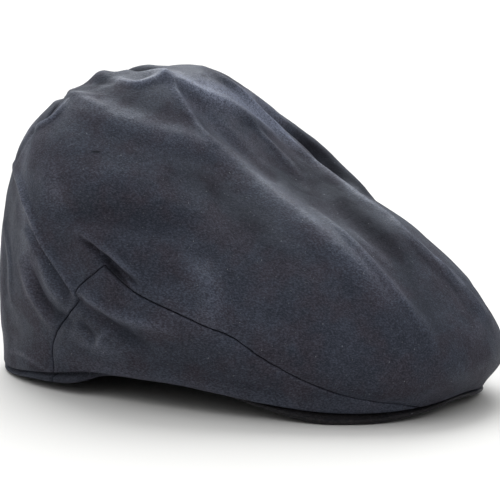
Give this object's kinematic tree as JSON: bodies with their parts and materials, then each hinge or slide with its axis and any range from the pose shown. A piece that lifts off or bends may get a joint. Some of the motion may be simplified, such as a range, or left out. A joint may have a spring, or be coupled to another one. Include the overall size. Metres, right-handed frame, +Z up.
{
  "type": "flat cap",
  "caption": "Soft flat cap of waxed cotton: one-piece top sloping from a full crown down to a bowed peak, wedge side panels, open underneath for the head.",
  "frame": {"origin": "middle of the bounding box in plan, on the surface the cap stands on", "axes": "+Z up, -Y towards the tip of the peak, +Y to the back of the head, -X to the wearer's right"},
  "size_m": [0.1924, 0.2736, 0.1557],
  "materials": {
    "waxed_cloth": "waxed, dull sheen",
    "peak_cloth": "waxed, dull sheen",
    "band_cloth": "matte"
  },
  "bodies": {
    "root": {"crown_top": "waxed_cloth", "side_panel_right": "waxed_cloth", "side_panel_left": "waxed_cloth", "peak": "peak_cloth", "sweatband": "band_cloth"}
  },
  "joints": []
}
